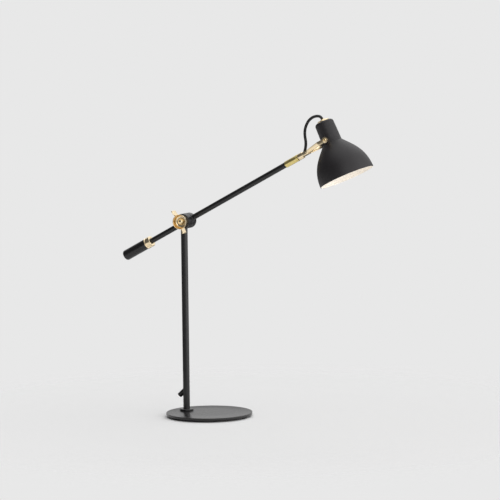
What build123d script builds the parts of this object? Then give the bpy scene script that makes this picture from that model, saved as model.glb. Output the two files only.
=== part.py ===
from build123d import *
from math import cos, radians, sin, tan
import os

# Counterweight balance desk lamp, in millimetres.  +Z is up and z = 0 is the table.  The
# lamp leans its shade out along +X, and the hinge of the arm lies along Y with the wing
# nut on the -Y side.  Everything is drawn about the middle of the base disc and moved at
# the end, so that the origin is under the middle of the front foot.  That is also midway
# along the whole lamp, from the counterweight's end to the rim of the shade.

# Base and pole
base_radius = 90.0
base_thickness = 6.5
base_edge = 0.8
foot_height = 2.5
foot_radius = 6.0
foot_recess = 1.0
foot_circle = 79.3
foot_count = 3
pole_x = -53.0
pole_radius = 7.0
pole_wall = 1.5
foot_collar_radius = 14.25
foot_collar_height = 4.5
insert_length = 20.0
base_screw_radius = 4.0
base_screw_length = 19.0
base_screw_head_radius = 6.5
base_screw_head_height = 3.8
base_screw_socket = 5.0

# Mains cord outlet on the pole
outlet_height = 55.5
outlet_slope = 43.0
outlet_reach = 22.0
outlet_radius = 5.2
bushing_flange = 1.2
bushing_length = 6.2
bushing_bore = 3.1
bushing_wall = 1.0

# Hub
hub_height = 408.0
hub_radius = 16.0
hub_edge = 1.0
front_block_front = -9.5
front_block_back = 8.0
washer_thickness = 1.0
washer_radius = 15.4
rear_block_back = 26.0
stud_radius = 4.0
stud_flange_radius = 7.0
stud_flange_thickness = 1.8
pole_top_web = 2.0

# Wing nut, measured forward from the pole's middle plane
cup_floor = 2.8
cup_depth = 13.0
cup_back_radius = 13.4
cup_rim_radius = 15.6
cup_wall = 1.4
dome_radius = 6.8
wing_angle = 29.0
wing_root = (14.3, 17.0)
wing_bend = (17.0, 20.5)
wing_tip = (26.0, 30.0)
wing_thickness = 3.2
wing_width = 9.0
wing_corner = 3.0
stud_into_dome = 4.0

# Arm, with its stations counted from the hub axis towards the shade
arm_slope = 28.0
arm_y = 17.0
arm_radius = 5.75
arm_wall = 1.2
arm_back = -128.0
arm_front = 276.0
weight_back = -169.0
weight_front = -110.5
weight_radius = 11.0
weight_round = 4.5
weight_collar_length = 14.0
weight_collar_radius = 11.3
sleeve_start = 258.0
sleeve_end = 290.4
sleeve_radius = 6.8
swivel_gap = 1.2
pin_radius = 4.8
pin_bore = 3.3
pin_flange_radius = 5.6
pin_flange_thickness = 1.5

# Yoke
yoke_collar_end = 303.6
yoke_collar_radius = 6.75
yoke_base_end = 315.0
fork_width = 8.0
fork_thickness = 2.6
fork_root_offset = 6.4
fork_splay_start = 316.5
fork_splay_end = 355.0
fork_bend_radius = 8.0
eye_offset = 30.0
eye_radius = 6.0
pivot_station = 373.0
rivet_station = 311.8
rivet_drop = 1.4
rivet_radius = 1.5

# Shade, with its heights counted from the tilt pivot towards the rim
shade_slope = 24.5
neck_top = -39.4
neck_top_radius = 19.8
neck_round = 6.4
neck_base = 7.2
neck_base_radius = 20.7
rim_height = 84.3
rim_radius = 58.4
shade_wall = 1.2
rim_bead = 0.9
dome_lead_in = (20.2, 17.0)
dome_run_out = 40.6
cap_radius = 12.5
cap_thickness = 2.5
grip_radius = 4.5
grip_top = -44.4
grip_foot = -30.0
locknut_flats = 15.0
locknut_height = 4.0
pivot_screw_radius = 2.5
pivot_head_radius = 3.8
pivot_head_height = 2.4
pivot_socket = 3.0
pivot_bush_radius = 4.2
pivot_nut_flats = 8.0
pivot_nut_height = 4.0
holder_radius = 13.0
holder_top = -33.0
holder_mouth = 4.0
holder_wall = 1.6
bulb_cap_radius = 6.9
bulb_cap_top = -20.0
bulb_neck = 5.5
bulb_radius = 22.5
bulb_centre = 37.0
bulb_glass = 0.9

# Cord from the yoke to the shade, in the plane of the arm
cord_radius = 2.9
cord_pocket_depth = 3.0
cord_route = [
    (215.9, 553.2),
    (222.0, 568.0),
    (217.0, 597.0),
    (222.6, 616.6),
    (232.8, 629.0),
    (245.8, 632.3),
]
cord_last_rise = 9.4

# Clearances, each as a radial or face gap
seat = 0.05
run = 0.05

# Derived places
plate_top = foot_height + base_thickness
hub_centre = Vector(pole_x, arm_y, hub_height)
arm_axis = Vector(cos(radians(arm_slope)), 0, sin(radians(arm_slope)))
arm_up = Vector(-sin(radians(arm_slope)), 0, cos(radians(arm_slope)))
shade_axis = Vector(sin(radians(shade_slope)), 0, -cos(radians(shade_slope)))
shade_out = Vector(cos(radians(shade_slope)), 0, sin(radians(shade_slope)))
outlet_axis = Vector(-cos(radians(outlet_slope)), 0, -sin(radians(outlet_slope)))
wing_way = Vector(-sin(radians(wing_angle)), 0, cos(radians(wing_angle)))
pivot = hub_centre + arm_axis * pivot_station
nut_back = -front_block_front + run
cup_front = nut_back + cup_depth
dome_base = nut_back + cup_floor
stud_front = dome_base + stud_into_dome
rear_block_front = front_block_back + washer_thickness
yoke_collar_start = sleeve_end + swivel_gap
cord_end = neck_top - cap_thickness + 0.5

# Frames in which the turned parts are drawn about local Z
pole_frame = Plane((pole_x, 0, 0), x_dir=(1, 0, 0), z_dir=(0, 0, 1))
hub_frame = Plane((pole_x, 0, hub_height), x_dir=wing_way, z_dir=(0, -1, 0))
arm_frame = Plane(hub_centre, x_dir=arm_up, z_dir=arm_axis)
shade_frame = Plane(pivot, x_dir=shade_out, z_dir=shade_axis)
outlet_frame = Plane((pole_x, 0, outlet_height), x_dir=(0, 1, 0), z_dir=outlet_axis)


def lathe(*corners):
    """A turned solid about local Z from its (radius, height) corners."""
    outline = Polyline(*[(r, 0, h) for r, h in corners], close=True)
    return revolve(make_face(outline), axis=Axis.Z)


def rod(radius, low, high):
    """A plain round bar about local Z."""
    return Pos(0, 0, low) * extrude(Circle(radius), amount=high - low)


def tube(outer, inner, low, high):
    """A plain round tube about local Z."""
    return rod(outer, low, high) - rod(inner, low - 1, high + 1)


def hex_bar(flats, low, high):
    """A hexagonal bar about local Z, sized across its flats."""
    outline = RegularPolygon(flats / 2, 6, major_radius=False)
    return Pos(0, 0, low) * extrude(outline, amount=high - low)


def feet_places():
    """The middles of the feet on their circle, one of them under the shade."""
    return PolarLocations(foot_circle, foot_count)


# Base and pole


def base_plate():
    """The steel disc, with foot recesses and a counterbored screw hole below."""
    disc = Pos(0, 0, foot_height) * extrude(Circle(base_radius), amount=base_thickness)
    disc = chamfer(disc.edges().group_by(Axis.Z)[-1], base_edge)
    recess = extrude(Circle(foot_radius + seat), amount=foot_height + foot_recess)
    disc -= [spot * recess for spot in feet_places()]
    head = rod(base_screw_head_radius + 0.5, 0, foot_height + base_screw_head_height + 0.2)
    shank = rod(base_screw_radius + 0.25, 0, plate_top + 1)
    return disc - pole_frame * (head + shank)


def rubber_feet():
    """Three round pads set into the underside of the disc."""
    pad = extrude(Circle(foot_radius), amount=foot_height + foot_recess)
    pad = chamfer(pad.edges().group_by(Axis.Z)[0], 0.5)
    return [spot * pad for spot in feet_places()]


def foot_collar():
    """The low turned flange around the bottom of the pole."""
    low, high = plate_top, plate_top + foot_collar_height
    inner = pole_radius + seat
    outer = foot_collar_radius
    corners = [(inner, low), (outer, low), (outer, high - 1.2), (outer - 1.2, high)]
    return pole_frame * lathe(*corners, (inner, high))


def pole_tube():
    """The upright tube, opened at its side for the cord outlet."""
    top = hub_height - stud_radius - pole_top_web
    pole = pole_frame * tube(pole_radius, pole_radius - pole_wall, plate_top, top)
    return pole - outlet_frame * rod(bushing_bore + bushing_wall, 0, outlet_reach)


def pole_insert():
    """The threaded plug in the bottom of the pole."""
    outer = pole_radius - pole_wall - seat
    inner = base_screw_radius + seat
    return pole_frame * tube(outer, inner, plate_top, plate_top + insert_length)


def base_screw():
    """The low-head socket screw that holds the pole down."""
    head_low = foot_height + 0.2
    head_high = foot_height + base_screw_head_height + 0.2
    screw = rod(base_screw_head_radius, head_low, head_high)
    screw += rod(base_screw_radius, head_high, head_high + base_screw_length)
    screw -= hex_bar(base_screw_socket, 0, head_low + 2.2)
    return pole_frame * screw


def cord_outlet():
    """The angled spout that the mains cord leaves by, saddled to the pole."""
    spout = rod(outlet_radius, 0, outlet_reach - bushing_flange)
    spout -= rod(bushing_bore + bushing_wall, -1, outlet_reach)
    return outlet_frame * spout - pole_frame * rod(pole_radius + seat, 0, hub_height)


def outlet_bushing():
    """The flanged rubber bushing in the mouth of the spout."""
    mouth = outlet_reach - bushing_flange
    low = outlet_reach - bushing_length
    sleeve = bushing_bore + bushing_wall - seat
    corners = [(bushing_bore, low), (sleeve, low), (sleeve, mouth), (outlet_radius, mouth)]
    corners += [(outlet_radius, outlet_reach - 0.4), (outlet_radius - 0.4, outlet_reach)]
    return outlet_frame * lathe(*corners, (bushing_bore, outlet_reach))


# Hub


def hub_block(front, back):
    """One turned block of the hub with eased edges, between two Y places."""
    e = hub_edge
    low, high = -back, -front
    corners = [(0, low), (hub_radius - e, low), (hub_radius, low + e)]
    corners += [(hub_radius, high - e), (hub_radius - e, high), (0, high)]
    return hub_frame * lathe(*corners)


def hub_front_block():
    """The fixed block on top of the pole, bored for the clamp stud."""
    block = hub_block(front_block_front, front_block_back)
    block -= pole_frame * rod(pole_radius + seat, 0, hub_height - stud_radius - pole_top_web)
    return block - hub_frame * rod(stud_radius + run, -hub_radius * 2, hub_radius * 2)


def hub_rear_block():
    """The turning block that carries the arm across it."""
    block = hub_block(rear_block_front, rear_block_back)
    block -= arm_frame * rod(arm_radius + seat, -hub_radius * 2, hub_radius * 2)
    flange_back = rear_block_front + stud_flange_thickness
    return block - hub_frame * rod(stud_flange_radius + seat, -flange_back, 0)


def friction_washer():
    """The thin washer that turns between the two blocks."""
    washer = tube(washer_radius, stud_radius + seat, -rear_block_front, -front_block_back - run)
    return hub_frame * washer


def clamp_stud():
    """The flanged stud from the rear block through the front block to the nut."""
    flange_back = rear_block_front + stud_flange_thickness
    stud = rod(stud_radius, -flange_back, stud_front)
    stud += rod(stud_flange_radius, -flange_back, -rear_block_front)
    return hub_frame * chamfer(stud.edges().group_by(Axis.Z)[-1], 0.8)


def wing():
    """One bent wing with a rounded tip, drawn towards local +X."""
    places = [(r, 0, h) for r, h in (wing_root, wing_bend, wing_tip)]
    spine = FilletPolyline(*places, radius=4)
    across = Plane(spine @ 0, x_dir=(0, 1, 0), z_dir=spine % 0)
    bar = sweep(across * Rectangle(wing_width, wing_thickness), path=spine)
    tip = bar.faces().sort_by(Axis.Z)[-1]
    corners = tip.edges().filter_by(GeomType.LINE).sort_by_distance(spine @ 1)[-2:]
    return fillet(corners, wing_corner)


def wing_nut():
    """The cupped brass nut with its two wings."""
    inner_rim = cup_rim_radius - cup_wall
    corners = [(stud_radius + run, nut_back), (cup_back_radius - 0.8, nut_back)]
    corners += [(cup_back_radius, nut_back + 0.8), (cup_rim_radius, cup_front - 1)]
    corners += [(cup_rim_radius, cup_front), (inner_rim, cup_front)]
    corners += [(cup_back_radius - cup_wall, dome_base + 1), (cup_back_radius - 3, dome_base)]
    cup = lathe(*corners, (stud_radius + run, dome_base))
    hollow = rod(inner_rim - 0.6, dome_base + 0.5, cup_front + 20)
    return hub_frame * (cup + [wing() - hollow, Rot(0, 0, 180) * wing() - hollow])


def nut_dome():
    """The domed cap nut on the end of the stud."""
    ball = Pos(0, 0, dome_base) * Sphere(dome_radius)
    dome = ball & rod(dome_radius + 1, dome_base, dome_base + dome_radius + 1)
    return hub_frame * (dome - rod(stud_radius + run, dome_base - 1, stud_front + 0.3))


# Arm


def arm_tube():
    """The slanting tube from the counterweight to the brass sleeve."""
    return arm_frame * tube(arm_radius, arm_radius - arm_wall, arm_back, arm_front)


def counterweight():
    """The solid round weight, rounded at its far end and bored for the arm."""
    weight = rod(weight_radius, weight_back, weight_front)
    weight = fillet(weight.edges().group_by(Axis.Z)[0], weight_round)
    return arm_frame * (weight - rod(arm_radius + seat, arm_back, weight_front + 1))


def weight_collar():
    """The brass collar in front of the weight, with a bead and a groove."""
    low = weight_front
    high = weight_front + weight_collar_length
    inner = arm_radius + seat
    body = weight_collar_radius
    corners = [(inner, low), (body, low), (body + 0.3, low + 0.5), (body + 0.3, low + 1.6)]
    corners += [(body - 0.7, low + 2.1), (body - 0.7, low + 3.0), (body, low + 3.3)]
    corners += [(body, high - 0.7), (body - 0.7, high), (inner, high)]
    return arm_frame * lathe(*corners)


def arm_sleeve():
    """The brass ferrule on the front of the arm, with a beaded end."""
    low, high, body = sleeve_start, sleeve_end, sleeve_radius
    tube_fit = arm_radius + seat
    pin_fit = pin_radius + seat
    corners = [(tube_fit, low), (body - 0.3, low), (body, low + 0.5), (body, high - 3.6)]
    corners += [(body - 0.4, high - 3.2), (body + 0.3, high - 2.6), (body + 0.3, high - 0.4)]
    corners += [(body - 0.1, high), (pin_fit, high), (pin_fit, arm_front)]
    return arm_frame * lathe(*corners, (tube_fit, arm_front))


def swivel_pin():
    """The hollow flanged pin on which the yoke turns."""
    flange = yoke_collar_end - 2 * pin_flange_thickness
    pin = tube(pin_radius, pin_bore, arm_front, flange + pin_flange_thickness)
    pin += tube(pin_flange_radius, pin_bore, flange, flange + pin_flange_thickness)
    return arm_frame * pin


# Yoke


def yoke_collar():
    """The brass collar that turns on the hollow pin."""
    low, high, body = yoke_collar_start, yoke_collar_end, yoke_collar_radius
    step = yoke_collar_end - 2 * pin_flange_thickness - run
    pin_fit = pin_radius + run
    flange_fit = pin_flange_radius + run
    corners = [(pin_fit, low), (body - 0.4, low), (body, low + 0.4), (body, high - 0.8)]
    corners += [(body - 0.8, high), (flange_fit, high), (flange_fit, step), (pin_fit, step)]
    return arm_frame * lathe(*corners)


def cord_pocket(deeper=0.0):
    """The slanting socket for the lower end of the cord."""
    start = Vector(cord_route[0][0], arm_y, cord_route[0][1])
    toward = Vector(cord_route[1][0], arm_y, cord_route[1][1]) - start
    socket = Plane(start, x_dir=(0, 1, 0), z_dir=toward)
    return socket * rod(cord_radius + seat, -deeper, 3 * cord_pocket_depth)


def yoke_base():
    """The block between the fork bars, socketed for the cord."""
    width = 2 * fork_root_offset - fork_thickness
    length = yoke_base_end - yoke_collar_end
    block = Pos(0, 0, yoke_collar_end) * extrude(Rectangle(fork_width, width), amount=length)
    block = fillet(block.edges().filter_by(Axis.Y).group_by(Axis.Z)[-1], 2)
    block += rod(pin_flange_radius, yoke_collar_end - pin_flange_thickness + run, yoke_collar_end)
    rivet = Pos(-rivet_drop, 0, rivet_station) * Rot(90, 0, 0) * rod(rivet_radius + seat, -9, 9)
    return arm_frame * (block - rivet) - cord_pocket()


def fork_bar():
    """One splayed flat bar with a round eye, on the local +Y side of the yoke."""
    places = [(yoke_collar_end, fork_root_offset), (fork_splay_start, fork_root_offset)]
    places += [(fork_splay_end, eye_offset), (pivot_station + eye_radius, eye_offset)]
    spine = FilletPolyline(*[(0, y, z) for z, y in places], radius=fork_bend_radius)
    across = Plane(spine @ 0, x_dir=(1, 0, 0), z_dir=spine % 0)
    bar = sweep(across * Rectangle(2 * eye_radius, fork_thickness), path=spine)
    length = pivot_station - yoke_collar_end
    strap = Pos(yoke_collar_end + length / 2, 0) * Rectangle(length, fork_width)
    eye = Pos(pivot_station, 0) * Circle(eye_radius)
    face = Plane((0, 0, 0), x_dir=(0, 0, 1), z_dir=(0, 1, 0))
    bar &= face * extrude(strap + eye, amount=eye_offset + fork_thickness)
    side = Rot(-90, 0, 0)
    bar -= Pos(0, 0, pivot_station) * side * rod(pivot_screw_radius + run, 0, 2 * eye_offset)
    return bar - Pos(-rivet_drop, 0, rivet_station) * side * rod(rivet_radius + seat, 0, 20)


def fork_bar_near():
    """The fork bar on the wing nut's side."""
    return arm_frame * fork_bar()


def fork_bar_far():
    """The fork bar on the other side."""
    return arm_frame * mirror(fork_bar(), Plane.XZ)


def fork_rivet():
    """The cross rivet that holds both bars to the yoke base."""
    reach = fork_root_offset + fork_thickness / 2
    rivet = rod(rivet_radius, -reach - 0.8, reach + 0.8)
    rivet += rod(rivet_radius + 1, reach + seat, reach + 0.8)
    rivet += rod(rivet_radius + 1, -reach - 0.8, -reach - seat)
    return arm_frame * Pos(-rivet_drop, 0, rivet_station) * Rot(90, 0, 0) * rivet


# Shade


def shade_outside():
    """The outer form of the shade, closed across its rim."""
    side = neck_top_radius
    top = neck_top + neck_round
    flat = Line((0, 0, neck_top), (side - neck_round, 0, neck_top))
    shoulder = TangentArc(flat @ 1, (side, 0, top), tangent=(1, 0, 0))
    neck = Line((side, 0, top), (neck_base_radius, 0, neck_base))
    lead = (neck_base_radius + dome_lead_in[1], 0, neck_base + dome_lead_in[0])
    run_out = (rim_radius - 0.4, 0, rim_height - dome_run_out)
    dome = Bezier(neck @ 1, lead, run_out, (rim_radius, 0, rim_height))
    across = Line((rim_radius, 0, rim_height), (0, 0, rim_height))
    centre = Line((0, 0, rim_height), (0, 0, neck_top))
    outline = Wire([flat, shoulder, neck, dome, across, centre])
    return revolve(make_face(outline), axis=Axis.Z)


def shade_shell():
    """The spun shade: a thin wall from neck to rim with a rolled edge."""
    body = shade_outside()
    mouth = body.faces().sort_by(Axis.Z)[-1]
    shell = offset(body, amount=-shade_wall, openings=mouth, kind=Kind.INTERSECTION)
    bead = Pos(rim_radius - rim_bead, 0, rim_height - rim_bead / 2) * Rot(90, 0, 0) * Circle(rim_bead)
    shell += revolve(bead, axis=Axis.Z)
    shell -= rod(grip_radius + seat, neck_top - 1, neck_top + shade_wall + 1)
    shell -= Rot(90, 0, 0) * rod(pivot_screw_radius + seat, -eye_offset, eye_offset)
    return shade_frame * shell


def neck_cap():
    """The brass disc on top of the neck."""
    low, high = neck_top - cap_thickness, neck_top
    inner = grip_radius + seat
    corners = [(inner, low), (cap_radius - 1, low), (cap_radius, low + 1)]
    return shade_frame * lathe(*corners, (cap_radius, high), (inner, high))


def cord_grip():
    """The brass cord grip, threaded down through the top of the shade."""
    stem = rod(grip_radius, grip_top, grip_foot)
    stem = chamfer(stem.edges().group_by(Axis.Z)[0], 0.6)
    stem -= rod(cord_radius + seat, grip_top - 1, cord_end)
    return shade_frame * (stem - rod(cord_radius - 0.9, cord_end - 1, grip_foot + 1))


def grip_locknut():
    """The hexagon nut that pulls the cord grip up inside the neck."""
    low = neck_top + shade_wall
    nut = hex_bar(locknut_flats, low, low + locknut_height)
    return shade_frame * (nut - rod(grip_radius + seat, low - 1, low + locknut_height + 1))


def lampholder():
    """The cup-shaped lampholder screwed to the foot of the cord grip."""
    outer, wall = holder_radius, holder_wall
    corners = [(grip_radius + seat, holder_top), (outer - 4, holder_top), (outer - 1, holder_top + 5)]
    corners += [(outer - 1, holder_mouth - 6), (outer, holder_mouth - 5), (outer, holder_mouth)]
    corners += [(outer - wall - 1, holder_mouth), (outer - wall - 1, bulb_cap_top - 1)]
    corners += [(grip_radius + seat, bulb_cap_top - 1)]
    return shade_frame * lathe(*corners)


def holder_insert():
    """The ring inside the lampholder that the bulb screws into."""
    outer = holder_radius - holder_wall - 1 - seat
    inner = bulb_cap_radius + 0.4
    ring = tube(outer, inner, bulb_cap_top + 1, holder_mouth - 3)
    floor = rod(outer, bulb_cap_top - 1 + seat, bulb_cap_top - seat)
    wall = tube(outer, inner, bulb_cap_top - 1 + seat, bulb_cap_top + 2)
    return shade_frame * (ring + floor + wall)


def bulb_cap():
    """The screw cap of the bulb, with rolled threads and a centre contact."""
    low, high, r = bulb_cap_top, bulb_neck, bulb_cap_radius
    thread = low + 5.0
    pitch = 2.8
    corners = [(0, low), (2.4, low), (2.4, low + 1), (r - 2, low + 2.2), (r - 0.5, low + 3.6)]
    for turn in range(5):
        corners += [(r, thread + turn * pitch), (r - 0.7, thread + (turn + 0.5) * pitch)]
    return shade_frame * lathe(*corners, (r - 0.3, high - 3), (r - 0.3, high), (0, high))


def bulb_glass_envelope():
    """The globe of the bulb, blown thin and open onto its cap."""
    foot = bulb_neck + seat
    throat = bulb_cap_radius + 0.6
    form = Pos(0, 0, bulb_centre) * Sphere(bulb_radius)
    cone = loft([Pos(0, 0, foot) * Circle(throat), Pos(0, 0, 22) * Circle(16.8)])
    inner_cone = loft(
        [
            Pos(0, 0, foot) * Circle(throat - bulb_glass),
            Pos(0, 0, 22) * Circle(16.8 - bulb_glass),
        ]
    )
    hollow = Pos(0, 0, bulb_centre) * Sphere(bulb_radius - bulb_glass)
    return shade_frame * ((form + cone) - (hollow + inner_cone))


def pivot_bushes():
    """Two round stand-offs between the neck and the fork eyes."""
    reach = eye_offset - fork_thickness / 2 - run
    bush = tube(pivot_bush_radius, pivot_screw_radius + seat, neck_top_radius - 2, reach)
    pair = [Rot(90, 0, 0) * bush, Rot(-90, 0, 0) * bush]
    neck = shade_outside()
    return [shade_frame * (one - neck) for one in pair]


def pivot_screws():
    """Two socket screws on which the shade tilts."""
    face = eye_offset + fork_thickness / 2 + run
    inner = neck_base_radius - shade_wall - pivot_nut_height - 2.0
    screw = rod(pivot_screw_radius, inner, face)
    head = rod(pivot_head_radius, face, face + pivot_head_height)
    head = fillet(head.edges().group_by(Axis.Z)[-1], 0.8)
    screw += head - hex_bar(pivot_socket, face + 0.8, face + pivot_head_height + 1)
    return [shade_frame * Rot(90, 0, 0) * screw, shade_frame * Rot(-90, 0, 0) * screw]


def pivot_nuts():
    """Two nuts inside the neck on the ends of the pivot screws."""
    outer = neck_top_radius - shade_wall - 0.6
    nut = hex_bar(pivot_nut_flats, outer - pivot_nut_height, outer)
    nut -= rod(pivot_screw_radius + seat, 0, outer + 1)
    return [shade_frame * Rot(90, 0, 0) * nut, shade_frame * Rot(-90, 0, 0) * nut]


# Cord


def cord_points():
    """The hand-laid route of the cord, ending down the axis of the cord grip."""
    last = pivot + shade_axis * cord_end
    above = pivot + shade_axis * (cord_end - cord_last_rise)
    route = [Vector(x, arm_y, z) for x, z in cord_route]
    return route + [above, last]


def cord_radii(route):
    """One bend radius for each inner corner, as large as its shorter run allows."""
    radii = []
    for a, b, c in zip(route, route[1:], route[2:]):
        turn = (b - a).get_angle(c - b)
        radii.append(0.45 * min((b - a).length, (c - b).length) / tan(radians(turn / 2)))
    return radii


def head_cord():
    """The round cord, swept along its route."""
    route = cord_points()
    radii = cord_radii(route)
    path = FilletPolyline(*route, radius=radii)
    section = Plane(path @ 0, z_dir=path % 0) * Circle(cord_radius)
    cord = sweep(section, path=path)
    print("cord radii", [round(r, 1) for r in radii], "length", round(path.length, 1))
    print("cord volume", round(cord.volume, 1), "section x length", round(section.area * path.length, 1))
    return cord


NODES = {
    "base_plate": base_plate,
    "rubber_feet": rubber_feet,
    "foot_collar": foot_collar,
    "pole_tube": pole_tube,
    "pole_insert": pole_insert,
    "base_screw": base_screw,
    "cord_outlet": cord_outlet,
    "outlet_bushing": outlet_bushing,
    "hub_front_block": hub_front_block,
    "hub_rear_block": hub_rear_block,
    "friction_washer": friction_washer,
    "clamp_stud": clamp_stud,
    "wing_nut": wing_nut,
    "nut_dome": nut_dome,
    "arm_tube": arm_tube,
    "counterweight": counterweight,
    "weight_collar": weight_collar,
    "arm_sleeve": arm_sleeve,
    "swivel_pin": swivel_pin,
    "yoke_collar": yoke_collar,
    "yoke_base": yoke_base,
    "fork_bar_near": fork_bar_near,
    "fork_bar_far": fork_bar_far,
    "fork_rivet": fork_rivet,
    "shade_shell": shade_shell,
    "neck_cap": neck_cap,
    "cord_grip": cord_grip,
    "grip_locknut": grip_locknut,
    "lampholder": lampholder,
    "holder_insert": holder_insert,
    "bulb_cap": bulb_cap,
    "bulb_globe": bulb_glass_envelope,
    "pivot_bushes": pivot_bushes,
    "pivot_screws": pivot_screws,
    "pivot_nuts": pivot_nuts,
    "head_cord": head_cord,
}

os.makedirs("parts", exist_ok=True)
for name, make in NODES.items():
    shape = make()
    if isinstance(shape, list):
        shape = Compound(children=shape)
    export_step(Pos(-foot_circle, 0, 0) * shape, f"parts/{name}.step")
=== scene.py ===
from math import asin, atan2, cos, degrees, pi, radians, sin, tan

import bpy
from mathutils import Matrix, Vector


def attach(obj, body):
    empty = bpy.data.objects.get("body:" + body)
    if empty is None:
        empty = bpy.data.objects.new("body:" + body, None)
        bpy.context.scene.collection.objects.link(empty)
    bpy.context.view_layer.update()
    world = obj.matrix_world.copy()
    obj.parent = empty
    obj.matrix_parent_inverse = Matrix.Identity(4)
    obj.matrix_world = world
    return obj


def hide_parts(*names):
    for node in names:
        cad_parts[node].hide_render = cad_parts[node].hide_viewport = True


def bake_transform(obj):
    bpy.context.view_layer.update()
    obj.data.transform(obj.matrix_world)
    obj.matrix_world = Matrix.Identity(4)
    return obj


# Counterweight balance desk lamp. Lengths are named in millimetres, and the scene is in metres.
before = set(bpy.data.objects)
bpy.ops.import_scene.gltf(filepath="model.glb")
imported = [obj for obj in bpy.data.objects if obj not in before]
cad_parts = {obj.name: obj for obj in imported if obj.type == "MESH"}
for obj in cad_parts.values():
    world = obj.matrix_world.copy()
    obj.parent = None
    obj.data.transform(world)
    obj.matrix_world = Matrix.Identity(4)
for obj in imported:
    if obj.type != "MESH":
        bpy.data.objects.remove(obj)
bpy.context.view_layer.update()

mm = 0.001

# Driving sizes and places, shared by the pieces that meet
foot_circle = 79.3
base_x = -foot_circle
base_radius = 90.0
base_top = 9.0
pole_setback = 53.0
pole_x = base_x - pole_setback
pole_radius = 7.0
outlet_height = 55.5
outlet_slope = radians(43.0)
spout_end = 20.8
spout_bore = 4.1

hub_height = 408.0
hub_radius = 16.0
hub_split = -9.0
stud_bore = 4.05
nut_back = 9.55
nut_floor = 12.35
wing_angle = radians(29.0)

arm_y = 17.0
arm_slope = radians(28.0)
arm_radius = 5.75
arm_bore = 5.8
arm_front = 276.0
weight_front = -110.5
swivel_bore = 4.85

yoke_collar_end = 303.6
bar_width = 8.0
bar_thickness = 2.6
bar_root_offset = 6.4
eye_radius = 6.0
eye_offset = 30.0
pivot_station = 373.0

shade_slope = radians(24.5)
neck_top = -39.4
neck_bore = 4.55
shade_wall = 1.2
rim_height = 84.3

cord_radius = 2.9
cord_start = (215.9, 553.2)

# Studio levels
paper = 0.807
floor_white = 0.757


def seat(origin, axis, across):
    """The place of a piece drawn about its own axis, from its origin, axis and a way across."""
    z = Vector(axis).normalized()
    x = Vector(across).normalized()
    place = Matrix((x, z.cross(x), z)).transposed().to_4x4()
    place.translation = Vector(origin) * mm
    return place


hub_middle = Vector((pole_x, arm_y, hub_height))
arm_way = Vector((cos(arm_slope), 0, sin(arm_slope)))
arm_up = Vector((-sin(arm_slope), 0, cos(arm_slope)))
pivot = hub_middle + arm_way * pivot_station
shade_way = Vector((sin(shade_slope), 0, -cos(shade_slope)))
shade_out = Vector((cos(shade_slope), 0, sin(shade_slope)))
outlet_way = (-cos(outlet_slope), 0, -sin(outlet_slope))
wing_way = (-sin(wing_angle), 0, cos(wing_angle))

base_seat = seat((base_x, 0, 0), (0, 0, 1), (1, 0, 0))
pole_seat = seat((pole_x, 0, 0), (0, 0, 1), (1, 0, 0))
outlet_seat = seat((pole_x, 0, outlet_height), outlet_way, (0, 1, 0))
hub_seat = seat((pole_x, 0, hub_height), (0, -1, 0), wing_way)
arm_seat = seat(hub_middle, arm_way, arm_up)
shade_seat = seat(pivot, shade_way, shade_out)


# Node boards


class Wire:
    """A socket on which Python's signs add Math nodes."""

    def __init__(self, board, socket):
        self.board = board
        self.socket = socket

    def __add__(self, other):
        return self.board.sum("ADD", self, other)

    def __sub__(self, other):
        return self.board.sum("SUBTRACT", self, other)

    def __rsub__(self, other):
        return self.board.sum("SUBTRACT", other, self)

    def __mul__(self, other):
        return self.board.sum("MULTIPLY", self, other)

    __radd__ = __add__
    __rmul__ = __mul__


class Board:
    """The nodes of one finish, or of the studio's world."""

    def __init__(self, owner):
        owner.use_nodes = True
        self.tree = owner.node_tree

    def add(self, kind, settings=None, sockets=None, out=0):
        """One node: its settings are set first, then its sockets' values or links."""
        node = self.tree.nodes.new("ShaderNode" + kind)
        for key, value in (settings or {}).items():
            setattr(node, key, value)
        for key, value in (sockets or {}).items():
            if isinstance(value, Wire):
                self.tree.links.new(value.socket, node.inputs[key])
            else:
                node.inputs[key].default_value = value
        return Wire(self, node.outputs[out])

    def sum(self, sign, a, b):
        """One Math node."""
        return self.add("Math", {"operation": sign}, {0: a, 1: b})

    def clamp(self, value, low, high):
        """Smoothly from 0 at low to 1 at high."""
        settings = {"interpolation_type": "SMOOTHSTEP"}
        ends = {"Value": value, "From Min": low, "From Max": high}
        return self.add("MapRange", settings, ends)

    def mix(self, share, first, second):
        """Two colours mixed by a share."""
        sockets = {0: share, 6: (*first, 1), 7: (*second, 1)}
        return self.add("Mix", {"data_type": "RGBA"}, sockets, 2)

    def noise(self, where, scale, detail=2.0, rough=0.5):
        """Even noise, its scale in grains a metre."""
        sockets = {"Vector": where, "Scale": scale, "Detail": detail, "Roughness": rough}
        return self.add("TexNoise", None, sockets)


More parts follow.
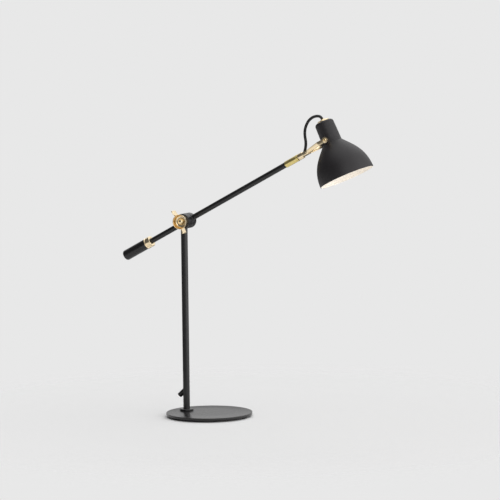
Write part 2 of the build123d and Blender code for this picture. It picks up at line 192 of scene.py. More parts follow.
class Finish(Board):
    """One material on a Principled shader, with its even values set on the shader itself."""

    def __init__(self, name, **even):
        self.material = bpy.data.materials.new(name)
        super().__init__(self.material)
        self.shader = self.tree.nodes["Principled BSDF"]
        for key, value in even.items():
            self.shader.inputs[key.replace("_", " ")].default_value = value
        self.place = self.add("TexCoord", None, None, 3)

    def feed(self, socket, wire):
        """Drive one of the shader's sockets."""
        self.tree.links.new(wire.socket, self.shader.inputs[socket])

    def relief(self, height, depth, strength):
        """A bump of that depth in millimetres."""
        sockets = {"Height": height, "Distance": depth * mm, "Strength": strength}
        self.feed("Normal", self.add("Bump", None, sockets))

    def about(self, place):
        """Where a point lies about a turned piece's axis: its distance out and its height along."""
        turn = place.to_euler()
        sockets = {"Vector": self.place, "Location": place.translation, "Rotation": turn}
        local = self.add("Mapping", {"vector_type": "TEXTURE"}, sockets)
        x, y, z = (self.add("SeparateXYZ", None, {0: local}, i) for i in range(3))
        out = self.add("Math", {"operation": "SQRT"}, {0: x * x + y * y})
        return self.add("CombineXYZ", None, {0: out, 1: z, 2: 0.0})


# Finishes. The number taken from each roughness is what its noises add to it on average.


def powder_coat(name, dark, light, rough, grain, peel):
    """Baked powder: a fine grain over a slow orange peel, a little uneven in gloss."""
    coat = Finish(name, IOR=1.5)
    fine = coat.noise(coat.place, grain, 3, 0.6)
    slow = coat.noise(coat.place, peel, 2)
    cloud = coat.noise(coat.place, 22, 3)
    coat.feed("Base Color", coat.mix(cloud * 0.6 + fine * 0.4, dark, light))
    coat.feed("Roughness", fine * 0.16 + cloud * 0.1 + (rough - 0.13))
    coat.relief(fine * 0.6 + slow, 0.05, 0.5)
    return coat.material


def turned_brass(name, place, bright, deep, rough, marks):
    """Lacquered brass off the lathe, with its tool marks round the axis and a faint tarnish."""
    brass = Finish(name, Metallic=1.0)
    lathe = brass.noise(brass.about(place), marks, 2, 0.6)
    smear = brass.noise(brass.place, 70, 4, 0.6)
    haze = brass.noise(brass.place, 420, 3)
    spots = brass.clamp(haze * smear, 0.3, 0.42)
    brass.feed("Base Color", brass.mix(smear * 0.55 + spots * 0.4, bright, deep))
    brass.feed("Roughness", lathe * 0.12 + smear * 0.12 + spots * 0.1 + (rough - 0.14))
    brass.relief(lathe + haze * 0.3, 0.012, 0.35)
    return brass.material


def cast_brass(name, bright, deep, rough):
    """Polished casting, with the soft unevenness that the buffing wheel leaves."""
    brass = Finish(name, Metallic=1.0)
    wave = brass.noise(brass.place, 110, 2)
    fine = brass.noise(brass.place, 1500, 3, 0.6)
    smear = brass.noise(brass.place, 60, 4, 0.6)
    brass.feed("Base Color", brass.mix(smear, bright, deep))
    brass.feed("Roughness", fine * 0.08 + smear * 0.12 + (rough - 0.1))
    brass.relief(wave + fine * 0.04, 0.05, 0.25)
    return brass.material


def white_enamel(name, light, warm, rough):
    """Baked white enamel with a slight orange peel."""
    coat = Finish(name, IOR=1.5)
    peel = coat.noise(coat.place, 380, 2)
    cloud = coat.noise(coat.place, 18, 3)
    coat.feed("Base Color", coat.mix(cloud, light, warm))
    coat.feed("Roughness", peel * 0.12 + cloud * 0.1 + (rough - 0.11))
    coat.relief(peel, 0.05, 0.4)
    return coat.material


def moulded(name, dark, light, rough, grain):
    """A moulded rubber or plastic with a fine spark-eroded grain."""
    skin = Finish(name, IOR=1.5)
    fine = skin.noise(skin.place, grain, 4, 0.65)
    cloud = skin.noise(skin.place, 40, 3)
    skin.feed("Base Color", skin.mix(cloud * 0.5 + fine * 0.5, dark, light))
    skin.feed("Roughness", fine * 0.14 + cloud * 0.1 + (rough - 0.12))
    skin.relief(fine, 0.04, 0.5)
    return skin.material


def plated_steel(name, place, bright, dull, rough):
    """Zinc or nickel plate with fine turning lines and a dull bloom."""
    plate = Finish(name, Metallic=1.0)
    lines = plate.noise(plate.about(place), 5200, 2, 0.6)
    bloom = plate.noise(plate.place, 180, 4, 0.6)
    plate.feed("Base Color", plate.mix(bloom, bright, dull))
    plate.feed("Roughness", bloom * 0.18 + lines * 0.1 + (rough - 0.14))
    plate.relief(lines, 0.01, 0.4)
    return plate.material


def opal_glass(name, place, light, warm, glow, strength):
    """Opal glass, lit and white all through under a clear skin, faintly streaked by the blowing."""
    glass = Finish(name, IOR=1.52, Coat_Weight=0.6, Emission_Color=(*glow, 1), Emission_Strength=strength)
    streak = glass.noise(glass.about(place), 90, 3)
    glass.feed("Base Color", glass.mix(streak, light, warm))
    glass.feed("Roughness", streak * 0.08 + 0.08)
    glass.relief(streak, 0.05, 0.2)
    return glass.material


def cord_sheath(name, black, rubbed, rough):
    """Soft black sheath with a fine drawn grain and a faint rub of dust."""
    sheath = Finish(name, IOR=1.5)
    fine = sheath.noise(sheath.place, 2600, 3, 0.6)
    rub = sheath.noise(sheath.place, 120, 4, 0.6)
    dusty = sheath.clamp(rub, 0.45, 0.8)
    sheath.feed("Base Color", sheath.mix(dusty, black, rubbed))
    sheath.feed("Roughness", fine * 0.14 + dusty * 0.14 + (rough - 0.07))
    sheath.relief(fine, 0.03, 0.5)
    return sheath.material


black_powder = powder_coat(
    "black_powder",
    dark=(0.005, 0.005, 0.0055),
    light=(0.009, 0.0085, 0.009),
    rough=0.34,
    grain=2400,
    peel=520,
)
gloss_black = powder_coat(
    "gloss_black",
    dark=(0.004, 0.004, 0.0045),
    light=(0.007, 0.007, 0.0075),
    rough=0.2,
    grain=2000,
    peel=420,
)
shade_black = powder_coat(
    "shade_black",
    dark=(0.008, 0.0066, 0.0078),
    light=(0.013, 0.0107, 0.0127),
    rough=0.5,
    grain=2200,
    peel=600,
)
base_black = powder_coat(
    "base_black",
    dark=(0.011, 0.01, 0.0105),
    light=(0.018, 0.0165, 0.0172),
    rough=0.27,
    grain=2400,
    peel=560,
)
enamel = white_enamel("white_enamel", light=(0.93, 0.9, 0.85), warm=(0.9, 0.865, 0.81), rough=0.41)
nut_brass = cast_brass("cast_brass", bright=(0.94, 0.79, 0.55), deep=(0.88, 0.71, 0.45), rough=0.22)
arm_brass = turned_brass(
    "arm_brass", arm_seat, bright=(0.92, 0.77, 0.53), deep=(0.85, 0.67, 0.4), rough=0.2, marks=3600
)
sleeve_brass = turned_brass(
    "sleeve_brass", arm_seat, bright=(0.82, 0.68, 0.29), deep=(0.72, 0.58, 0.21), rough=0.3, marks=5200
)
hub_brass = turned_brass(
    "hub_brass", hub_seat, bright=(0.93, 0.77, 0.48), deep=(0.85, 0.65, 0.36), rough=0.16, marks=3000
)
head_brass = turned_brass(
    "head_brass", shade_seat, bright=(0.93, 0.77, 0.5), deep=(0.86, 0.66, 0.38), rough=0.2, marks=3600
)
steel = plated_steel(
    "zinc_steel", pole_seat, bright=(0.62, 0.62, 0.63), dull=(0.42, 0.42, 0.44), rough=0.34
)
cap_metal = plated_steel(
    "cap_metal", shade_seat, bright=(0.8, 0.79, 0.75), dull=(0.6, 0.59, 0.56), rough=0.3
)
rubber = moulded(
    "black_rubber", dark=(0.012, 0.012, 0.012), light=(0.026, 0.026, 0.026), rough=0.72, grain=1800
)
nylon = moulded(
    "black_nylon", dark=(0.014, 0.014, 0.014), light=(0.022, 0.022, 0.022), rough=0.5, grain=1500
)
holder_white = moulded(
    "holder_plastic", dark=(0.76, 0.75, 0.7), light=(0.84, 0.83, 0.79), rough=0.42, grain=1300
)
ceramic = moulded(
    "holder_ceramic", dark=(0.8, 0.79, 0.75), light=(0.88, 0.87, 0.84), rough=0.22, grain=300
)
opal = opal_glass(
    "opal_glass",
    shade_seat,
    light=(0.96, 0.94, 0.9),
    warm=(0.91, 0.885, 0.83),
    glow=(1, 0.86, 0.7),
    strength=1.25,
)
sheath = cord_sheath("cord_sheath", black=(0.006, 0.006, 0.0065), rubbed=(0.016, 0.0155, 0.016), rough=0.49)


# Making and finishing


def bare():
    """Nothing is selected."""
    bpy.ops.object.select_all(action="DESELECT")


def take(piece):
    """Only this piece is selected."""
    bare()
    piece.select_set(True)
    bpy.context.view_layer.objects.active = piece


def settle():
    """Write the selected pieces' places into their meshes."""
    bpy.ops.object.transform_apply(location=True, rotation=True, scale=True)


def begin(name):
    """Name the primitive just added and go to its mesh, all of it selected."""
    piece = bpy.context.object
    piece.name = piece.data.name = name
    bpy.ops.object.mode_set(mode="EDIT")
    bpy.ops.mesh.select_all(action="SELECT")
    return piece


def close_up():
    """Merge what meets, turn every face outwards and leave the mesh."""
    bpy.ops.mesh.select_all(action="SELECT")
    bpy.ops.mesh.remove_doubles(threshold=0.004 * mm)
    bpy.ops.mesh.normals_make_consistent(inside=False)
    bpy.ops.object.mode_set(mode="OBJECT")
    settle()


def turned(name, rings, sides=96):
    """A turned piece: a circle, drawn ring by ring through its (radius, height) stations."""
    # A ring on the axis starts this wide and is merged to a point.
    point = 0.001
    bare()
    radius, height = rings[0]
    radius = max(radius, point)
    bpy.ops.mesh.primitive_circle_add(vertices=sides, radius=radius * mm, location=(0, 0, height * mm))
    piece = begin(name)
    for wide, high in rings[1:]:
        wide = max(wide, point)
        step = (0, 0, (high - height) * mm)
        bpy.ops.mesh.extrude_region_move(TRANSFORM_OT_translate={"value": step})
        grow = (wide / radius, wide / radius, 1)
        bpy.ops.transform.resize(value=grow, center_override=(0, 0, 0))
        radius, height = wide, high
    close_up()
    return piece


def drawn(name, sections, turn=(0, 0, 0)):
    """A flat piece: a plane, drawn out through sections that each have a middle and a size."""
    (spot, size), others = sections[0], sections[1:]
    bare()
    bpy.ops.mesh.primitive_plane_add(size=mm, location=spot * mm, rotation=turn)
    settle()
    piece = begin(name)
    bpy.ops.transform.resize(value=size, center_override=spot * mm)
    for middle, wanted in others:
        step = (middle - spot) * mm
        bpy.ops.mesh.extrude_region_move(TRANSFORM_OT_translate={"value": step})
        grow = [new / old for new, old in zip(wanted, size)]
        bpy.ops.transform.resize(value=grow, center_override=middle * mm)
        spot, size = middle, wanted
    close_up()
    return piece


def rod(radius, start, end):
    """The rings of a plain solid cylinder."""
    return [(0, start), (radius, start), (radius, end), (0, end)]


def tube(bore, radius, start, end):
    """The rings of a plain hollow cylinder."""
    return [(bore, start), (radius, start), (radius, end), (bore, end), (bore, start)]


def arc(centre, radius, start, end, steps):
    """Ring stations round part of a circle, angles in degrees from straight out."""
    turns = [radians(start + (end - start) * i / steps) for i in range(steps + 1)]
    return [(centre[0] + radius * cos(a), centre[1] + radius * sin(a)) for a in turns]


def back_along(rings):
    """The same stations in the other order."""
    return list(reversed(rings))


def apply(piece, kind, **settings):
    """Add one modifier and apply it."""
    take(piece)
    modifier = piece.modifiers.new(kind.lower(), kind)
    for key, value in settings.items():
        setattr(modifier, key, value)
    bpy.ops.object.modifier_apply(modifier=modifier.name)


def ease(piece, width, steps=3, angle=30):
    """Round the sharp edges a little."""
    limit = {"limit_method": "ANGLE", "angle_limit": radians(angle)}
    apply(piece, "BEVEL", width=width * mm, segments=steps, profile=0.5, **limit)


def combine(piece, other, operation):
    """Join another solid to a piece, or take it away, and use it up."""
    apply(piece, "BOOLEAN", operation=operation, solver="EXACT", object=other)
    bpy.data.objects.remove(other)


def put(piece, place):
    """Set a piece down in its place and leave its object at the origin."""
    take(piece)
    piece.matrix_world = place @ piece.matrix_world
    settle()


def drill(piece, radius, start, end, place, sides=64):
    """Cut a hole from start to end along the axis of a place."""
    middle = (0, 0, (start + end) / 2 * mm)
    size = {"radius": radius * mm, "depth": (end - start) * mm}
    bare()
    bpy.ops.mesh.primitive_cylinder_add(vertices=sides, location=middle, **size)
    tool = bpy.context.object
    put(tool, place)
    combine(piece, tool, "DIFFERENCE")


def join(name, *parts):
    """Several parts as one piece."""
    take(parts[0])
    for part in parts[1:]:
        part.select_set(True)
    bpy.ops.object.join()
    piece = bpy.context.object
    piece.name = piece.data.name = name
    return piece


def copy_of(piece, turn):
    """A second one with its own mesh, turned by a matrix."""
    twin = piece.copy()
    twin.data = piece.data.copy()
    bpy.context.scene.collection.objects.link(twin)
    put(twin, turn)
    return twin


def paired(name, piece):
    """A piece and its copy at the other end of the same axis, as one."""
    return join(name, piece, copy_of(piece, Matrix.Rotation(pi, 4, "X")))


def fit(piece, body, node, slot, *coats, smooth=38):
    """Finish a piece that is in its place and hand it to its body."""
    take(piece)
    bpy.ops.object.shade_smooth_by_angle(angle=radians(smooth))
    piece.data.materials.clear()
    for coat in coats:
        piece.data.materials.append(coat)
    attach(piece, body)
    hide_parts(node)


def coat_node(node, finish):
    """A CAD node that stays gets its finish."""
    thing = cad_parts[node]
    for slot in thing.material_slots:
        slot.material = finish
    if not thing.material_slots:
        thing.data.materials.append(finish)


# Stand


def make_base_plate():
    """The heavy disc, relieved under its rim and recessed for the screw's head below the pole."""
    bottom, rim_bottom = 2.5, 4.0
    relief_start, relief_end = 62.0, 64.0
    recess_start, recess_end = 0.6, 6.6
    rings = [(0, bottom), (base_radius / 2, bottom), (relief_start, bottom), (relief_end, rim_bottom)]
    rings += [(base_radius, rim_bottom), (base_radius, base_top)]
    rings += [(base_radius / 2, base_top), (0, base_top)]
    disc = turned("base_disc", rings, 256)
    ease(disc, 0.6, 4)
    drill(disc, pole_radius, recess_start, recess_end, Matrix.Translation((-pole_setback * mm, 0, 0)))
    put(disc, base_seat)
    fit(disc, "stand", "base_plate", "black_powder", base_black)


def make_feet():
    """Three rubber pads under the raised rim, each with a dished face and one grip ring."""
    foot_radius, foot_top = 6.0, 4.1
    dish = [(0, 0.8), (1.8, 0.8), (2.3, 0.1), (2.6, 0)]
    groove = [(3.6, 0), (3.8, 0.35), (4.1, 0.35), (4.3, 0)]
    edge = [(5.4, 0), (5.9, 0.4), (foot_radius, 0.9), (foot_radius, foot_top), (0, foot_top)]
    pad = turned("foot_pad", dish + groove + edge, 64)
    ease(pad, 0.12, 2)
    put(pad, Matrix.Translation((foot_circle * mm, 0, 0)))
    others = [copy_of(pad, Matrix.Rotation(radians(a), 4, "Z")) for a in (120, 240)]
    feet = join("foot_pads", pad, *others)
    put(feet, base_seat)
    fit(feet, "stand", "rubber_feet", "rubber", rubber)


def make_pole():
    """The flange on the disc and the upright pole in it."""
    flange_bore, flange_radius, flange_top, chamfer = pole_radius + 0.02, 14.25, 13.5, 1.2
    rings = [(flange_bore, base_top), (flange_radius, base_top), (flange_radius, flange_top - chamfer)]
    rings += [(flange_radius - chamfer, flange_top), (flange_bore, flange_top), (flange_bore, base_top)]
    flange = turned("pole_flange", rings, 128)
    ease(flange, 0.4, 3, 25)
    put(flange, pole_seat)
    fit(flange, "stand", "foot_collar", "gloss_black", gloss_black)
    pole_start, pole_end = base_top + 0.1, 402.0
    stations = [(pole_radius, height) for height in (pole_start, 60, 200, pole_end)]
    pole = turned("pole", [(0, pole_start)] + stations + [(0, pole_end)])
    put(pole, pole_seat)
    fit(pole, "stand", "pole_tube", "black_powder", black_powder)


def make_outlet():
    """The cord's spout low on the pole, with its rubber bush."""
    spout = turned("cord_spout", tube(spout_bore, 5.2, 4, spout_end), 64)
    ease(spout, 0.2, 2)
    put(spout, outlet_seat)
    fit(spout, "stand", "cord_outlet", "black_powder", black_powder)
    bore, barrel, start, end = 3.1, spout_bore - 0.05, 15.8, 22.0
    rings = [(bore, start), (barrel, start), (barrel, spout_end), (5.15, spout_end), (5.2, 21.1)]
    rings += [(5.15, 21.5), (4.85, 21.85), (4.4, end), (3.7, end), (3.3, 21.8), (bore, 21.4)]
    rings.append((bore, start))
    bush = turned("spout_bush", rings, 64)
    put(bush, outlet_seat)
    fit(bush, "stand", "outlet_bushing", "rubber", rubber)


def make_hub():
    """The fixed front block, the rear block that carries the arm, and the washer between them."""
    front_start, front_end, rear_start = -8.0, 9.5, -26.0
    block = turned("hub_front", tube(stud_bore, hub_radius, front_start, front_end), 128)
    ease(block, 0.9, 4)
    put(block, hub_seat)
    fit(block, "stand", "hub_front_block", "black_powder", black_powder)
    block = turned("hub_rear", rod(hub_radius, rear_start, hub_split), 128)
    ease(block, 0.9, 4)
    put(block, hub_seat)
    drill(block, arm_radius + 0.1, -30, 30, arm_seat, 96)
    fit(block, "arm", "hub_rear_block", "black_powder", black_powder)
    washer = turned("hub_washer", tube(stud_bore + 0.05, 15.4, hub_split, front_start - 0.05), 128)
    ease(washer, 0.2, 2)
    put(washer, hub_seat)
    fit(washer, "arm", "friction_washer", "nylon", nylon)


def make_wing():
    """One ear of the wing nut: a plate that stands in the axis's plane, drawn outwards."""
    # Place out from the axis, lowest and highest edge along it, and thickness
    spans = [(12.9, 12.2, 21.6, 4.4), (14.4, 13.2, 25.2, 4.2), (16, 14.4, 28, 4), (18, 15.4, 29.9, 3.8)]
    spans += [(20.4, 16, 31, 3.7), (23, 16.4, 31.6, 3.7), (25.4, 16.8, 31.9, 3.7), (26.6, 17.3, 31.6, 3.6)]
    sections = []
    for out, low, high, thick in spans:
        sections.append((Vector((out, 0, (low + high) / 2)), (1, thick, high - low)))
    wing = drawn("wing", sections, turn=(0, pi / 2, 0))
    ease(wing, 1.5, 5)
    return wing


def make_wing_nut():
    """The flared cup and its two ears, fused and softened as a casting is, round a dome."""
    outer = arc((12.4, 10.95), 1.4, -75, -10, 5)
    outer += [(14.1, 13), (14.4, 15.5), (14.8, 18), (15.25, 20.2), (15.55, 21.5)]
    lip = arc((15.0, 21.95), 0.6, -10, 190, 12)
    inner = [(14.1, 20.4), (13.7, 18.6), (13.45, 17.4)] + back_along(arc((8.9, 16.85), 4.5, -90, -4, 14))
    middle = [(7, nut_floor), (stud_bore, nut_floor), (stud_bore, nut_back)]
    rings = [(stud_bore, nut_back), (12.4, nut_back)] + outer + lip + inner + middle
    nut = turned("wing_nut_casting", rings, 160)
    wing = make_wing()
    other = copy_of(wing, Matrix.Rotation(pi, 4, "Z"))
    for ear in (wing, other):
        combine(nut, ear, "UNION")
    ease(nut, 0.7, 4, 42)
    put(nut, hub_seat)
    fit(nut, "clamp_nut", "wing_nut", "brass", nut_brass, smooth=60)
    dome_radius, dome_foot = 7.4, nut_floor + 0.05
    rings = [(0, dome_foot), (dome_radius - 0.2, dome_foot), (dome_radius, dome_foot + 0.3)]
    dome = turned("cap_dome", rings + arc((0, nut_floor), dome_radius, 6, 90, 24))
    put(dome, hub_seat)
    fit(dome, "clamp_nut", "nut_dome", "brass", hub_brass, smooth=60)


# Arm


def make_arm():
    """The arm's tube."""
    back = -128.0
    stations = [(arm_radius, back), (arm_radius, 0), (arm_radius, arm_front)]
    bar = turned("arm_bar", [(0, back)] + stations + [(0, arm_front)])
    put(bar, arm_seat)
    fit(bar, "arm", "arm_tube", "black_powder", black_powder)


def make_weight():
    """The counterweight with its rounded end, and the grooved brass collar in front of it."""
    back, radius, rounding = -169.0, 11.0, 4.5
    rings = [(0, back)] + arc((radius - rounding, back + rounding), rounding, -90, 0, 12)
    rings += [(radius, weight_front - 0.6), (radius - 0.6, weight_front), (0, weight_front)]
    weight = turned("weight", rings, 128)
    put(weight, arm_seat)
    fit(weight, "arm", "counterweight", "black_powder", black_powder)
    band, body, groove, front = 11.6, 11.3, 10.6, -96.5
    rings = [(arm_bore, weight_front), (body, weight_front), (band, -110.1), (band, -108.9)]
    rings += [(groove, -108.4), (groove, -107.5), (body, -107.2), (body, -97.2), (groove, front)]
    collar = turned("weight_ring", rings + [(arm_bore, front), (arm_bore, weight_front)], 128)
    ease(collar, 0.18, 3, 18)
    put(collar, arm_seat)
    fit(collar, "arm", "weight_collar", "brass", arm_brass)


def make_sleeve():
    """The brass ferrule over the arm's front end, with its turned bead."""
    start, end, radius, groove, bead = 258.0, 290.4, 6.8, 6.4, 7.1
    rings = [(arm_bore, start), (6.45, start), (radius, start + 0.4), (radius, 286.8), (groove, 287.2)]
    rings += [(bead, 287.8), (bead, 290), (6.7, end), (swivel_bore, end)]
    rings += [(swivel_bore, arm_front), (arm_bore, arm_front), (arm_bore, start)]
    sleeve = turned("ferrule", rings)
    ease(sleeve, 0.15, 3, 18)
    put(sleeve, arm_seat)
    fit(sleeve, "arm", "arm_sleeve", "brass", sleeve_brass)


# Yoke


def bar_stations():
    """The bar's sections: place along, place out, slant and half width."""
    bend_start, bend_end, bend = 316.5, 355.0, 8.0
    half = bar_width / 2
    lean = atan2(eye_offset - bar_root_offset, bend_end - bend_start)
    lead = bend * tan(lean / 2)
    turns = [lean * i / 6 for i in range(7)]
    places = [(yoke_collar_end, bar_root_offset, 0, half), (309, bar_root_offset, 0, half)]
    for a in turns:
        along, out = bend_start - lead + bend * sin(a), bar_root_offset + bend * (1 - cos(a))
        places.append((along, out, a, half))
    for a in reversed(turns):
        along = bend_end - lead * cos(lean) + bend * (sin(lean) - sin(a))
        out = eye_offset - lead * sin(lean) + bend * (cos(a) - cos(lean))
        places.append((along, out, a, half))
    first = degrees(asin(half / eye_radius))
    for across, along in arc((0, 0), eye_radius, first - 90, 89, 24):
        places.append((pivot_station + along, eye_offset, 0, across))
    return places


def make_fork_bar(name, node, hand):
    """One flat bar, drawn out section by section from its root to the round eye."""
    sections = []
    for along, out, slant, half in bar_stations():
        size = (2 * half, bar_thickness / cos(slant), 1)
        sections.append((Vector((0, hand * out, along)), size))
    bar = drawn(name, sections)
    ease(bar, 0.4, 3, 45)
    put(bar, arm_seat)
    fit(bar, "yoke", node, "brass", arm_brass)


def make_yoke_block():
    """The block between the bars' roots, with the cord's socket in it."""
    middle, width, length = 309.3, 2 * bar_root_offset - bar_thickness, 11.4
    bare()
    bpy.ops.mesh.primitive_cube_add(size=mm, location=(0, 0, middle * mm))
    bpy.ops.transform.resize(value=(bar_width, width, length))
    settle()
    block = bpy.context.object
    block.name = block.data.name = "yoke_block"
    ease(block, 0.5, 3)
    put(block, arm_seat)
    x, z = cord_start
    cord_way = (6.1, 0, 14.8)
    socket = turned("socket", rod(cord_radius + 0.1, 0, 12), 48)
    put(socket, seat((x + base_x, arm_y, z), cord_way, (0, 1, 0)))
    combine(block, socket, "DIFFERENCE")
    fit(block, "yoke", "yoke_base", "brass", arm_brass)


def make_yoke():
    """The collar that turns on the hollow pin, the block, its rivet and the two bars."""
    start, radius, edge = 291.6, 6.75, 5.95
    rings = [(swivel_bore, start), (radius - 0.4, start), (radius, start + 0.4), (radius, 302.8)]
    rings += [(edge, yoke_collar_end), (swivel_bore, yoke_collar_end), (swivel_bore, start)]
    collar = turned("swivel_ring", rings)
    ease(collar, 0.15, 3, 18)
    put(collar, arm_seat)
    fit(collar, "yoke", "yoke_collar", "brass", arm_brass)
    make_yoke_block()
    rivet_drop, rivet_station = 1.4, 311.8
    head = turned("rivet", [(0, 7.6), (2.5, 7.6), (2.5, 7.95), (2.2, 8.25), (1.4, 8.45), (0, 8.5)], 48)
    rivet = paired("cross_rivet", head)
    rivet_middle = Matrix.Translation((-rivet_drop * mm, 0, rivet_station * mm))
    put(rivet, arm_seat @ rivet_middle @ Matrix.Rotation(pi / 2, 4, "X"))
    fit(rivet, "yoke", "fork_rivet", "brass", arm_brass)
    make_fork_bar("fork_strap_near", "fork_bar_near", 1)
    make_fork_bar("fork_strap_far", "fork_bar_far", -1)


# Shade


def dome_rings(steps, inset):
    """The bell from the foot of the neck to the rim, moved inwards by the wall."""
    start, lead = Vector((20.7, 7.2)), Vector((37.7, 27.4))
    out, end = Vector((58.0, 43.7)), Vector((58.4, rim_height))
    rings = []
    for i in range(steps + 1):
        t = i / steps
        u = 1 - t
        spot = u**3 * start + 3 * u * u * t * lead + 3 * u * t * t * out + t**3 * end
        way = u * u * (lead - start) + 2 * u * t * (out - lead) + t * t * (end - out)
        way.normalize()
        rings.append((spot.x - inset * way.y, spot.y + inset * way.x))
    return rings


def is_enamelled(face):
    """Whether a face of the bell, still on its own axis, looks inwards, or down at the rim."""
    middle = face.center
    out = Vector((middle.x, middle.y, 0)).normalized()
    inner = face.normal.dot(out) < -0.05
    under = face.normal.z > 0.5 and middle.z < (rim_height - 4.3) * mm
    lip = middle.z > (rim_height - 0.4) * mm and middle.xy.length < 58.1 * mm
    return inner or under or lip


def make_shade():
    """The spun bell: one thin wall, black outside, rolled at the rim, white inside."""
    crown, crown_radius, crown_edge = (13.4, -33), 6.4, 9
    steps = 44
    outside = [(neck_bore, neck_top), (crown_edge, neck_top)] + arc(crown, crown_radius, -90, 0, 12)
    outside += [(20.1, -20), (20.4, -6)] + dome_rings(steps, 0)[:-1]
    bead = arc((57.5, 83.85), 0.9, 0, 180, 10)
    inside = [ring for ring in reversed(dome_rings(steps, shade_wall)) if ring[1] < 83]
    inside += [(19.3, 7.4), (19.1, -6), (18.8, -20)]
    inside += back_along(arc(crown, crown_radius - shade_wall, -90, 0, 10))
    inside += [(crown_edge, neck_top + shade_wall), (neck_bore, neck_top + shade_wall)]
    shell = turned("bell", outside + bead + inside + [(neck_bore, neck_top)], 192)
    apply(shell, "WELD", merge_threshold=0.002 * mm)
    marks = [is_enamelled(face) for face in shell.data.polygons]
    put(shell, shade_seat)
    fit(shell, "shade", "shade_shell", "shade_black", shade_black, enamel, smooth=40)
    for face, mark in zip(shell.data.polygons, marks):
        face.material_index = int(mark)


def make_head_fittings():
    """The cap and cord grip on top of the neck."""
    cap_top, cap_radius = -41.9, 12.5
    rings = [(neck_bore, cap_top), (cap_radius - 1, cap_top), (cap_radius, cap_top + 1)]
    cap = turned("top_cap", rings + [(cap_radius, neck_top), (neck_bore, neck_top), (neck_bore, cap_top)])
    ease(cap, 0.35, 3, 25)
    put(cap, shade_seat)
    fit(cap, "shade", "neck_cap", "brass", head_brass)
    mouth, mouth_top, grip_top, grip_end, seat_height = 2.95, -44.2, -44.4, -30.0, -41.4
    rings = [(mouth, mouth_top), (3.3, grip_top), (3.9, grip_top), (4.4, -44), (4.5, -43.5)]
    rings += [(4.5, grip_end), (2, grip_end), (2, seat_height), (mouth, seat_height), (mouth, mouth_top)]
    grip = turned("grip", rings, 64)
    ease(grip, 0.15, 2)
    put(grip, shade_seat)
    fit(grip, "shade", "cord_grip", "brass", head_brass)


def make_tilt_fittings():
    """The stand-offs and the socket screws on which the shade tilts, one pair at each eye."""
    tilt_seat = shade_seat @ Matrix.Rotation(pi / 2, 4, "X")
    bush_bore, bush_radius, bush_start, bush_end = 2.6, 4.2, 19.6, 28.65
    bush = turned("bush", tube(bush_bore, bush_radius, bush_start, bush_end), 64)
    ease(bush, 0.25, 3)
    bushes = paired("tilt_bushes", bush)
    put(bushes, tilt_seat)
    fit(bushes, "shade", "pivot_bushes", "brass", head_brass)
    shank, head, tip, head_start, head_end = 2.5, 3.8, 13.5, 31.35, 33.75
    rings = [(0, tip), (shank - 0.3, tip), (shank, tip + 0.4), (shank, head_start), (head, head_start)]
    screw = turned("screw", rings + [(head, 32.9), (3.5, 33.5), (2.9, head_end), (0, head_end)], 64)
    ease(screw, 0.15, 2)
    drill(screw, 1.75, 32.1, 36.1, Matrix.Identity(4), sides=6)
    screws = paired("tilt_screws", screw)
    put(screws, tilt_seat)
    fit(screws, "shade", "pivot_screws", "brass", head_brass)


def make_lamp():
    """Lampholder, bulb cap and globe, seen from under the shade."""
    body, skirt, mouth, top, floor, end = 12.0, 13.0, 10.4, -33.0, -21.0, 4.0
    rings = [(neck_bore, top), (9, top), (body, -28), (body, -9), (12.35, -8.6), (12.35, -7.4), (body, -7)]
    rings += [(body, -3.2), (skirt, -2), (skirt, 3.4), (12.6, end), (mouth, end), (mouth, floor)]
    holder = turned("holder", rings + [(neck_bore, floor), (neck_bore, top)])
    ease(holder, 0.3, 3, 25)
    put(holder, shade_seat)
    fit(holder, "shade", "lampholder", "holder_plastic", holder_white)
    thread_middle, thread_depth, rise = 6.55, 0.35, 0.35
    rings = [(0, -20), (2, -20), (2.4, -19.6), (2.5, -19), (4.9, -17.8), (6.3, -16.6)]
    for i in range(36):
        rings.append((thread_middle + thread_depth * cos(2 * pi * i / 8), -15.6 + i * rise))
    metal = turned("cap", rings + [(6.6, -2.6), (6.6, 5.2), (6.4, 5.5), (0, 5.5)], 64)
    put(metal, shade_seat)
    fit(metal, "shade", "bulb_cap", "bulb_metal", cap_metal)
    rings = [(0, 5.6), (7.3, 5.6), (7.5, 5.9), (7.75, 8), (8.6, 11), (10.3, 14.4), (12.8, 18), (14.9, 20.4)]
    globe = turned("globe", rings + arc((0, 37), 22.5, -40, 90, 40))
    put(globe, shade_seat)
    fit(globe, "shade", "bulb_globe", "bulb_glass", opal, smooth=70)


# Cord


def make_head_cord():
    """The short flex from the yoke over into the top of the shade."""
    route = [cord_start, (222.0, 568.0), (216.8, 596.0), (222.4, 614.4), (232.4, 626.0)]
    route += [(245.2, 630.4), (255.4, 628.6), (259.17, 620.78)]
    bare()
    line = bpy.data.curves.new("head_flex", "CURVE")
    line.dimensions = "3D"
    spline = line.splines.new("NURBS")
    spline.points.add(len(route) - 1)
    for point, (x, z) in zip(spline.points, route):
        point.co = ((x + base_x) * mm, arm_y * mm, z * mm, 1)
    spline.order_u = 3
    spline.use_endpoint_u = True
    spline.resolution_u = 24
    flex = bpy.data.objects.new("head_flex", line)
    bpy.context.scene.collection.objects.link(flex)
    bpy.context.view_layer.update()
    plain = bpy.data.meshes.new_from_object(flex)
    bpy.data.meshes.remove(plain)
    line.bevel_depth = cord_radius * mm
    line.bevel_resolution = 10
    line.use_fill_caps = True
    take(flex)
    bpy.ops.object.convert(target="MESH")
    flex = bpy.context.object
    flex.name = flex.data.name = "head_flex"
    bpy.ops.object.mode_set(mode="EDIT")
    close_up()
    bpy.ops.object.shade_smooth_by_angle(angle=radians(60))
    flex.data.materials.clear()
    flex.data.materials.append(sheath)
    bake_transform(flex)
    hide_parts("head_cord")


# Studio


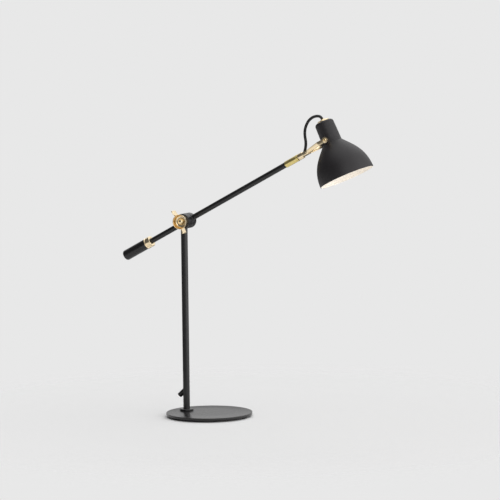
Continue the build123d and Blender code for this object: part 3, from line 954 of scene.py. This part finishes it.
def make_camera():
    """The photograph's view: a long lens from slightly above, its place in metres from the base."""
    right = Vector((0.901295, 0.433047, -0.011701))
    up = Vector((-0.031522, 0.092498, 0.995214))
    back = Vector((0.432057, -0.896613, 0.097019))
    lens = bpy.data.cameras.new("studio_camera")
    lens.sensor_width = 36
    lens.lens = 208.65
    lens.clip_start, lens.clip_end = 0.1, 400
    camera = bpy.data.objects.new("studio_camera", lens)
    bpy.context.scene.collection.objects.link(camera)
    camera.matrix_world = Matrix((right, up, back)).transposed().to_4x4()
    camera.location = Vector((2.684538 + base_x * mm, -5.365935, 0.932952))
    bpy.context.scene.camera = camera


def make_floor():
    """A pale disc under the lamp that melts into the pale surroundings."""
    reach, melt_start, melt_end = 0.9, 0.42, 0.86
    bare()
    bpy.ops.mesh.primitive_circle_add(vertices=128, radius=reach, fill_type="NGON")
    floor = bpy.context.object
    floor.name = "studio_floor"
    white = (floor_white, floor_white, floor_white, 1)
    paint = Finish("studio_floor", Base_Color=white, Roughness=0.9, Specular_IOR_Level=0.0)
    away = paint.add("VectorMath", {"operation": "LENGTH"}, {0: paint.place}, 1)
    paint.feed("Alpha", 1 - paint.clamp(away, melt_start, melt_end))
    floor.data.materials.append(paint.material)


def make_world():
    """Light by direction: wall behind, box at the right, key, overhead, ground. The camera sees paper."""
    world = bpy.data.worlds.new("studio")
    bpy.context.scene.world = world
    sky = Board(world)
    way = sky.add("TexCoord", None, None, 0)

    def box(direction, edge, full):
        """Light from a direction, given by the cosines off it where it starts and where it is full."""
        unit = Vector(direction).normalized()
        nearness = sky.add("VectorMath", {"operation": "DOT_PRODUCT"}, {0: way, 1: unit}, 1)
        return sky.clamp(nearness, edge, full)

    wall = box((-0.2, 0.97, 0.1), 0.4, 0.85) * box((0, 0, 1), -0.03, 0.38)
    side = box((0.98, 0.1, 0.1), 0.62, 0.84)
    key = box((0.48, -0.79, 0.39), cos(radians(26)), cos(radians(13)))
    top = box((0, 0.1, 1), cos(radians(52)), cos(radians(30)))
    ground = box((0, 0, -1), 0.1, 0.36) * box((-0.6, -0.8, -0.1), -0.5, 0.1)
    dim = 0.12
    light = 1.6 * side + wall + 1.6 * key + 1.2 * top + 0.85 * ground + dim
    seen = sky.add("LightPath", None, None, 0)
    through = sky.add("LightPath", None, None, 6)
    plain = sky.add("Math", {"operation": "MAXIMUM"}, {0: seen, 1: through})
    glow = plain * paper + (1 - plain) * light
    grey = sky.add("CombineColor", None, {0: glow, 1: glow, 2: glow})
    sky.tree.links.new(grey.socket, sky.tree.nodes["Background"].inputs["Color"])


make_camera()
make_head_cord()
make_base_plate()
make_feet()
make_pole()
make_outlet()
make_hub()
make_wing_nut()
make_arm()
make_weight()
make_sleeve()
make_yoke()
make_shade()
make_head_fittings()
make_tilt_fittings()
make_lamp()
for node in ("pole_insert", "base_screw", "clamp_stud", "swivel_pin", "grip_locknut", "pivot_nuts"):
    coat_node(node, steel)
coat_node("holder_insert", ceramic)
make_floor()
make_world()

bpy.context.scene.view_settings.view_transform = "Standard"
